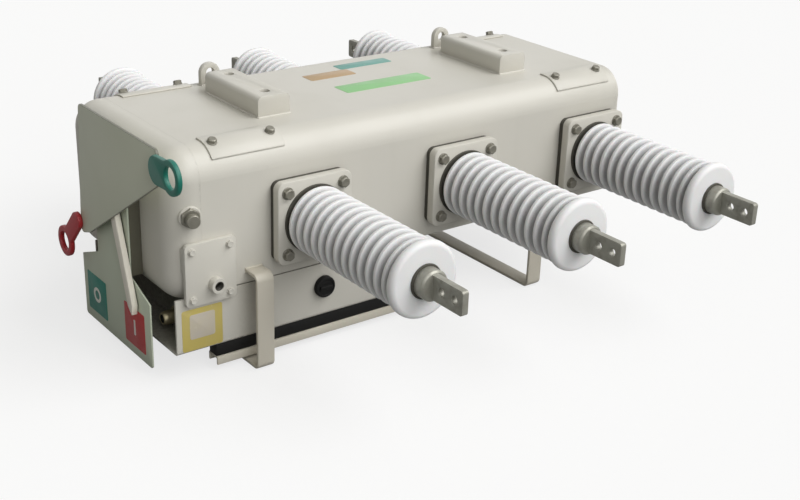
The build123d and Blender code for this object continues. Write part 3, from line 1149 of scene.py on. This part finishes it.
class Bushings(Assembly):
    """Six phases, each a flange with bolts, a turned shed column, a terminal palm, and a dark gasket and
    rings, partly painted shade, in the gaps at the flange, the column's foot and the terminal's root.

    A shed's half section is given by shares of its pitch and of its depth, from one groove to the next,
    and the foot of the cap by shares of its slope and of its depth.
    """

    SHED_SHARES = (
        (0.15, 0.00),
        (0.23, 0.10),
        (0.29, 0.52),
        (0.33, 0.85),
        (0.39, 0.97),
        (0.50, 1.00),
        (0.61, 0.97),
        (0.67, 0.85),
        (0.71, 0.52),
        (0.77, 0.10),
        (0.85, 0.00),
        (1.00, 0.00),
    )
    CAP_SHARES = ((0.35, 0.30), (0.75, 0.86), (1.0, 0.95), (1.4, 1.0))

    @dataclass(frozen=True)
    class Sizes:
        """Sizes of the shed column, its fasteners and its seals."""

        shed_count: int = 13
        core_radius: float = 0.043
        rim_radius: float = 0.059
        base_length: float = 0.003
        cap_length: float = 0.019
        cap_rim_radius: float = 0.063
        cap_radius: float = 0.009
        cap_slope: float = 0.005
        turn_steps: int = 72
        arc_steps: int = 8
        flange_edge: float = 0.0015
        terminal_edge: float = 0.0008
        bolt: HexBolt = HexBolt(0.016, 0.0070, 0.021, 0.002)
        bolt_inset: float = 0.018
        gasket: Stock = Stock(0.012, 0.0098, 0.0008)
        gasket_inset: float = 0.002
        seal_radius: float = 0.0595
        seal_depth: float = 0.0028
        seal_edge: float = 0.00084
        terminal_seal_radius: float = 0.0285

    def profile(self, length: float) -> list[tuple[float, float]]:
        """Draw the shed column's half section.

        Args:
            length: From the flange's face to the end of the cap.

        Returns:
            Radius and height of each point.
        """
        sizes = self.sizes
        cap_start = length - sizes.cap_length
        pitch = (cap_start - sizes.base_length) / sizes.shed_count
        depth = sizes.rim_radius - sizes.core_radius
        points = [(0.0, 0.0), (sizes.core_radius, 0.0), (sizes.core_radius, sizes.base_length)]
        for shed in range(sizes.shed_count):
            start = sizes.base_length + shed * pitch
            for along, out in self.SHED_SHARES:
                points.append((sizes.core_radius + depth * out, start + pitch * along))
        cap_depth = sizes.cap_rim_radius - sizes.core_radius
        for along, out in self.CAP_SHARES:
            points.append((sizes.core_radius + cap_depth * out, cap_start + along * sizes.cap_slope))
        arc_centre = sizes.cap_rim_radius - sizes.cap_radius
        for step in range(sizes.arc_steps + 1):
            angle = math.pi / 2 * step / sizes.arc_steps
            radius = arc_centre + sizes.cap_radius * math.cos(angle)
            points.append((radius, length - sizes.cap_radius * (1 - math.sin(angle))))
        points.append((0.0, length))
        return points

    def build(self) -> None:
        """Make one column and one bolt, and set them at every phase."""
        low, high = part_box("rear_left_bushing")
        column = Bench.turned("shed_column", self.profile(high.y - low.y), self.sizes.turn_steps)
        bolt = self.sizes.bolt.build("flange_bolt")
        for side, axis in (("front", Axis.FRONT), ("rear", Axis.REAR)):
            for phase in ("left", "middle", "right"):
                self.phase(f"{side}_{phase}", axis, column, bolt)
        bpy.data.objects.remove(column)
        bpy.data.objects.remove(bolt)

    def phase(self, name: str, axis: Axis, column: bpy.types.Object, bolt: bpy.types.Object) -> None:
        """Dress one phase.

        Args:
            name: The phase's name, which starts its nodes' names.
            axis: The way it points.
            column: The modelled shed column.
            bolt: The modelled flange bolt.
        """
        sizes = self.sizes
        self.ease(Finish.TANK, Slot.TANK, sizes.flange_edge, f"{name}_flange")
        self.ease(Finish.TINNED, Slot.TERMINAL, sizes.terminal_edge, f"{name}_terminal")
        low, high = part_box(f"{name}_bushing")
        centre = middle(f"{name}_bushing")
        root, end = (low.y, high.y) if axis is Axis.REAR else (high.y, low.y)
        shed = Bench.copied(column, f"{name}_shed_column", axis.at((centre.x, root, centre.z)))
        self.fix(shed, Finish.SILICONE, Slot.BUSHING, replaces=(f"{name}_bushing",))
        places = corner_places(f"{name}_flange", sizes.bolt_inset, root, axis)
        bolts = Bench.repeated(f"{name}_flange_bolts", bolt, places)
        self.fix(bolts, Finish.WEATHERED, Slot.STEEL)
        self.gaskets_and_shade_rings(name, axis, root, end)

    def gaskets_and_shade_rings(self, name: str, axis: Axis, root: float, end: float) -> None:
        """Fill the gap behind a flange with a dark gasket, and ring the column's foot and the terminal's
        root; the dark tone is partly painted shade in these gaps.

        Args:
            name: The phase's name.
            axis: The way it points.
            root: The column's foot along Y, on the flange's outer face.
            end: The column's far end along Y.
        """
        sizes = self.sizes
        low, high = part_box(f"{name}_flange")
        centre = middle(f"{name}_flange")
        across = high.x - low.x - 2 * sizes.gasket_inset
        back = low.y if axis is Axis.REAR else high.y
        gasket = Bench.plate("gasket", (across, across), sizes.gasket)
        gasket.data.transform(axis.at((centre.x, back, centre.z)))
        pieces = [gasket]
        # Painted shade: dark rings at the column's foot and at the terminal's root stand for the shade in
        # these gaps.
        for radius, along in ((sizes.seal_radius, root), (sizes.terminal_seal_radius, end)):
            seal = Bench.disc("seal", radius, sizes.seal_depth, sizes.seal_edge, 64)
            seal.data.transform(axis.at((centre.x, along, centre.z)))
            pieces.append(seal)
        self.fix(Bench.joined(f"{name}_gaskets", pieces), Finish.GASKET, Slot.RUBBER)


class OperatingGear(Assembly):
    """The lever with its pull rings, the pointer, and the indicator plate with its two panels.

    A panel's place is its middle, along Y and up from the plate's front lower corner.
    """

    @dataclass(frozen=True)
    class Sizes:
        """Sizes of the gear's dressing."""

        plate_edge: float = 0.0008
        strip_edge: float = 0.0006
        ring_edge: float = 0.0024
        panel_size: tuple[float, float] = (0.074, 0.072)
        panel: Stock = Stock(0.003, 0.0005, 0.0002)
        mark_height: float = 0.028
        mark_stroke: float = 0.0055
        mark: Stock = Stock(0.0015, 0.0003, 0.0001)
        red_place: tuple[float, float] = (0.059, 0.052)
        teal_place: tuple[float, float] = (0.204, 0.054)

    def build(self) -> None:
        """Dress the plates and rings, and add the panels."""
        sizes = self.sizes
        self.ease(Finish.LEVER, Slot.LEVER, sizes.plate_edge, "operating_lever", body=Body.LEVER)
        self.ease(Finish.POINTER, Slot.POINTER, sizes.strip_edge, "position_pointer", body=Body.POINTER)
        self.ease(Finish.INDICATOR, Slot.INDICATOR, sizes.strip_edge, "indicator_plate")
        # Painted shade: the bracket's dark finish stands for the shade between the lever and the tank's
        # end.
        self.dress(Finish.BRACKET, "indicator_bracket")
        self.dress(Finish.ZINC, "operating_shaft")
        self.dress(Finish.TANK, "shaft_bearing")
        self.ease(Finish.RED, Slot.RED, sizes.ring_edge, "red_pull_ring", body=Body.LEVER)
        self.ease(Finish.GREEN, Slot.GREEN, sizes.ring_edge, "green_pull_ring", body=Body.LEVER)
        self.panels()

    def panels(self) -> None:
        """Put a red panel with a bar and a teal panel with a ring on the indicator plate."""
        sizes = self.sizes
        corner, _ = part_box("indicator_plate")
        red, teal = (
            (corner.y + along, corner.z + up) for along, up in (sizes.red_place, sizes.teal_place)
        )
        panels = (("closed_panel", Finish.RED_FILM, red), ("open_panel", Finish.TEAL_FILM, teal))
        for name, finish, place in panels:
            panel = Bench.plate(name, sizes.panel_size, sizes.panel)
            self.fix(panel, finish, Slot.INDICATOR, Axis.LEFT.at((corner.x, *place)))
        bar = Bench.plate("closed_mark", (sizes.mark_stroke, sizes.mark_height), sizes.mark)
        outer = sizes.mark_height / 2
        inner = outer - sizes.mark_stroke
        top = sizes.mark.thickness
        section = ((inner, 0.0), (outer, 0.0), (outer, top), (inner, top), (inner, 0.0))
        ring = Bench.turned("open_mark", section, 48)
        for mark, place in ((bar, red), (ring, teal)):
            on_panel = Axis.LEFT.at((corner.x - sizes.panel.thickness, *place))
            self.fix(mark, Finish.WHITE_FILM, Slot.INDICATOR, on_panel)


class Compartment(Assembly):
    """The lower compartment with its plug, gland, cover, earth boss, rails and blank yellow film.

    The turned outlines and the sizes called shares are shares of a fitting's radius and of its length.
    """

    PLUG = ((0.0, 0.0), (1.0, 0.0), (1.0, 0.55), (0.94, 0.72), (0.80, 0.76), (0.74, 0.62), (0.0, 0.60))
    GLAND_BASE = ((0.0, 0.0), (1.12, 0.0), (1.12, 0.3), (1.0, 0.37), (0.0, 0.37))
    GLAND_NUT = (
        (0.0, 0.37),
        (0.72, 0.37),
        (0.72, 0.80),
        (0.62, 0.95),
        (0.50, 1.0),
        (0.44, 0.97),
        (0.0, 0.97),
    )
    GLAND_SEAL = ((0.0, 0.96), (0.42, 0.96), (0.40, 0.985), (0.0, 0.975))

    @dataclass(frozen=True)
    class Sizes:
        """Sizes of the compartment's dressing."""

        plate_edge: float = 0.0012
        grip_edge: float = 0.0012
        grip_length_share: float = 1.3
        grip_width_share: float = 0.36
        grip_corner_share: float = 0.1
        grip_foot_share: float = 0.6
        grip_rise_share: float = 0.38
        gland_flats_share: float = 0.98
        cover_screw: HexBolt = HexBolt(0.010, 0.0042, 0.0135, 0.0012, chamfer=0.0006, edge=0.0003)
        cover_screw_inset: float = 0.012
        thread_radius: float = 0.0079
        thread_depth: float = 0.0118
        thread_wall: float = 0.0012
        thread_turns: int = 6
        film: Stock = Stock(0.004, 0.0004, 0.0001)
        film_size: tuple[float, float] = (0.074, 0.074)
        film_inset: float = 0.010
        film_rise: float = 0.004
        patch_size: tuple[float, float] = (0.046, 0.044)
        patch_rise: float = 0.020

    def build(self) -> None:
        """Dress the box and its fittings."""
        edge = self.sizes.plate_edge
        # Painted shade: this finish darkens the compartment's mouth and recess.
        self.dress(Finish.COMPARTMENT, "lower_compartment")
        self.dress(Finish.TANK, "earth_boss")
        self.ease(Finish.TANK, Slot.TANK, edge, "mechanism_cover")
        self.ease(Finish.STRAP, Slot.STRAP, edge, "front_base_rail", "rear_base_rail")
        self.ease(Finish.BLACK, Slot.RUBBER, edge, "front_base_buffer", "rear_base_buffer")
        self.plug()
        self.gland()
        self.cover_screws()
        self.earth_thread_shade()
        self.film()

    def plug(self) -> None:
        """Turn a rimmed black plug with a grip bar across its face."""
        sizes = self.sizes
        low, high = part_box("compartment_plug")
        radius = (high.x - low.x) / 2
        depth = high.y - low.y
        body = Bench.turned("plug_body", self.PLUG, 48, (radius, depth))
        bar = Stock(sizes.grip_corner_share * radius, sizes.grip_rise_share * depth, sizes.grip_edge)
        across = (sizes.grip_length_share * radius, sizes.grip_width_share * radius)
        grip = Bench.plate("plug_grip", across, bar)
        grip.data.transform(Matrix.Translation((0.0, 0.0, sizes.grip_foot_share * depth)))
        piece = Bench.joined("compartment_plug_cap", [body, grip])
        centre = middle("compartment_plug")
        place = Axis.FRONT.at((centre.x, high.y, centre.z))
        self.fix(piece, Finish.BLACK, Slot.RUBBER, place, replaces=("compartment_plug",))

    def gland(self) -> None:
        """Turn a hexagon gland body with a domed nut and a black seal."""
        low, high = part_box("cable_gland")
        radius = (high.y - low.y) / 2
        scale = (radius, high.x - low.x)
        base = Bench.turned("gland_base", self.GLAND_BASE, 48, scale)
        base = Bench.hexagonal(base, 2 * radius * self.sizes.gland_flats_share)
        nut = Bench.turned("gland_nut", self.GLAND_NUT, 40, scale)
        seal = Bench.turned("gland_seal", self.GLAND_SEAL, 32, scale)
        brass = Bench.joined("gland_body", [base, nut])
        centre = middle("cable_gland")
        place = Axis.LEFT.at((high.x, centre.y, centre.z))
        self.fix(brass, Finish.NICKEL, Slot.GLAND, place, replaces=("cable_gland",))
        self.fix(seal, Finish.BLACK, Slot.RUBBER, place)

    def cover_screws(self) -> None:
        """Screw the cover down near its four corners."""
        low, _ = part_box("mechanism_cover")
        screw = self.sizes.cover_screw.build("cover_screw")
        places = corner_places("mechanism_cover", self.sizes.cover_screw_inset, low.y, Axis.FRONT)
        self.fix(Bench.repeated("cover_screws", screw, places), Finish.TANK, Slot.TANK)
        bpy.data.objects.remove(screw)

    def earth_thread_shade(self) -> None:
        """Line the earth boss's hole with a dark threaded insert, whose dark tone is partly painted shade
        inside the hole.
        """
        sizes = self.sizes
        wall = sizes.thread_wall
        low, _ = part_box("earth_boss")
        centre = middle("earth_boss")
        outer = sizes.thread_radius
        inner = outer - wall
        top = sizes.thread_depth - wall
        points = [(0.0, 0.0), (outer, 0.0), (outer, top)]
        for turn in range(sizes.thread_turns, 0, -1):
            crest = wall + (top - wall) * turn / sizes.thread_turns
            points += [(inner, crest), (inner - wall / 2, crest - wall / 2)]
        points += [(inner, wall), (0.0, wall)]
        # The insert's dark tone is partly painted shade inside the hole.
        insert = Bench.turned("earth_thread_shade_insert", points, 32)
        place = Axis.FRONT.at((centre.x, low.y + sizes.thread_depth, centre.z))
        self.fix(insert, Finish.BLACKENED, Slot.STEEL, place)

    def film(self) -> None:
        """Lay a blank yellow film with a pale middle on the front, below the cover."""
        sizes = self.sizes
        low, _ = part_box("lower_compartment")
        across = low.x + sizes.film_inset + sizes.film_size[0] / 2
        sheets = (
            ("yellow_blank_film", Finish.YELLOW_FILM, sizes.film_size, 0.0),
            ("pale_blank_film", Finish.PALE_FILM, sizes.patch_size, sizes.patch_rise),
        )
        for layer, (name, finish, size, rise) in enumerate(sheets):
            face = low.y - layer * sizes.film.thickness
            up = low.z + sizes.film_rise + rise + size[1] / 2
            film = Bench.plate(name, size, sizes.film)
            self.fix(film, finish, Slot.TANK, Axis.FRONT.at((across, face, up)))


class Cradle(Assembly):
    """The two cradle straps with the weld beads of their tabs."""

    @dataclass(frozen=True)
    class Sizes:
        """Sizes of the straps' dressing."""

        edge: float = 0.0012
        thickness: float = 0.006
        bead: float = 0.0024

    def build(self) -> None:
        """Ease the straps and weld their tabs to the tank."""
        tank_low, tank_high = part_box("tank_body")
        for side in SIDES:
            strap = f"{side}_cradle_strap"
            self.ease(Finish.STRAP, Slot.STRAP, self.sizes.edge, strap)
            low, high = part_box(strap)
            beads = [
                Bench.bead("tab", [Vector((x, y, z)) for x in (low.x, high.x)], self.sizes.bead)
                for y in (tank_low.y, tank_high.y)
                for z in (high.z, high.z - self.sizes.thickness)
            ]
            self.fix(Bench.joined(f"{side}_strap_beads", beads), Finish.STRAP, Slot.STRAP)


@dataclass(frozen=True)
class Studio:
    """The pale floor, two soft key lights, the white surround and the camera."""

    floor_size: float = 60.0
    floor_seen: float = 0.95
    floor_glow: float = 0.72
    floor_bounce: float = 0.28
    floor_mirrored: float = 0.3
    surround: float = 0.235
    surround_tint: tuple[float, float, float] = (1.0, 0.995, 0.91)
    side_strength: float = 1.9
    side_from: tuple[float, float, float] = (0.50, -0.42, 0.76)
    front_strength: float = 1.16
    front_from: tuple[float, float, float] = (0.0, -0.87, 0.49)
    key_spread: float = 48.0
    lens: float = 57.735
    place: tuple[float, float, float] = (-1.29575, -1.8605, 1.0420)
    yaw: float = 37.51
    pitch: float = 23.37
    roll: float = 1.94

    def build(self) -> None:
        """Set the floor, the lights, the surround and the camera."""
        bpy.context.scene.view_settings.view_transform = "Standard"
        self.floor()
        self.key("studio_side_key", self.side_strength, self.side_from)
        self.key("studio_front_key", self.front_strength, self.front_from)
        self.world()
        self.camera()

    @staticmethod
    def seen(graph: Graph, mirrored: float) -> Signal:
        """Tell rays that show the background from those that light the object.

        Args:
            graph: The graph that asks.
            mirrored: What a mirrored ray counts.

        Returns:
            1 for rays that show the background, and 0 for those that light the object.
        """
        path = graph.node("ShaderNodeLightPath")
        camera, glossy = (Signal(graph, path.outputs[f"Is {kind} Ray"]) for kind in ("Camera", "Glossy"))
        return (camera + glossy * mirrored).band(0.0, 1.0)

    def floor(self) -> None:
        """Lay the floor on the ground."""
        Bench.clear()
        bpy.ops.mesh.primitive_plane_add(size=self.floor_size)
        floor = Bench.started("studio_floor")
        material, graph = new_material("studio_floor_paint")
        bounce, paint = (
            graph.value("ShaderNodeBsdfDiffuse", None, {"Color": (level, level, level, 1.0)})
            for level in (self.floor_bounce, self.floor_seen)
        )
        glow = graph.value("ShaderNodeEmission", None, {"Strength": 1.0})
        sheet = graph.value("ShaderNodeMixShader", None, {0: self.floor_glow, 1: paint, 2: glow})
        shown = self.seen(graph, self.floor_mirrored)
        mixed = graph.value("ShaderNodeMixShader", None, {0: shown, 1: bounce, 2: sheet})
        graph.node("ShaderNodeOutputMaterial", None, {"Surface": mixed})
        floor.data.materials.append(material)

    def key(self, name: str, strength: float, direction: tuple[float, float, float]) -> None:
        """Hang one soft light.

        Args:
            name: The light's name.
            strength: Its strength.
            direction: Where it shines from.
        """
        light = bpy.data.lights.new(name, "SUN")
        light.energy = strength
        light.angle = math.radians(self.key_spread)
        lamp = bpy.data.objects.new(name, light)
        bpy.context.collection.objects.link(lamp)
        lamp.rotation_mode = "QUATERNION"
        lamp.rotation_quaternion = Vector(direction).to_track_quat("Z", "Y")

    def world(self) -> None:
        """Surround the scene with white that lights the object softly."""
        world = bpy.data.worlds.new("studio_surround")
        bpy.context.scene.world = world
        world.use_nodes = True
        graph = Graph(world.node_tree)
        shown = self.seen(graph, 1.0)
        strength = self.surround + shown * (1 - self.surround)
        colour = graph.mix(shown, (*self.surround_tint, 1.0), (1.0, 1.0, 1.0, 1.0))
        sky = graph.value("ShaderNodeBackground", None, {"Color": colour, "Strength": strength})
        graph.node("ShaderNodeOutputWorld", None, {"Surface": sky})

    def camera(self) -> None:
        """Set the camera at the photograph's viewing angle."""
        data = bpy.data.cameras.new("studio_camera")
        data.lens = self.lens
        camera = bpy.data.objects.new("studio_camera", data)
        bpy.context.collection.objects.link(camera)
        yaw, pitch, roll = (math.radians(angle) for angle in (self.yaw, self.pitch, self.roll))
        ahead = Vector((math.sin(yaw) * math.cos(pitch), math.cos(yaw) * math.cos(pitch), -math.sin(pitch)))
        right = Vector((math.cos(yaw), -math.sin(yaw), 0.0))
        down = ahead.cross(right)
        across = right * math.cos(roll) - down * math.sin(roll)
        upward = -(right * math.sin(roll) + down * math.cos(roll))
        turn = Matrix((across, upward, -ahead)).transposed()
        camera.matrix_world = Matrix.Translation(self.place) @ turn.to_4x4()
        bpy.context.scene.camera = camera


def main() -> None:
    """Build every sub-assembly in order, then the studio."""
    logging.basicConfig(level=logging.INFO, format="%(name)s: %(message)s")
    palette = Palette()
    for assembly in (Tank, Bushings, OperatingGear, Compartment, Cradle):
        LOG.info("building %s", assembly.__name__)
        assembly(palette).build()
    Studio().build()


if __name__ == "__main__":
    main()
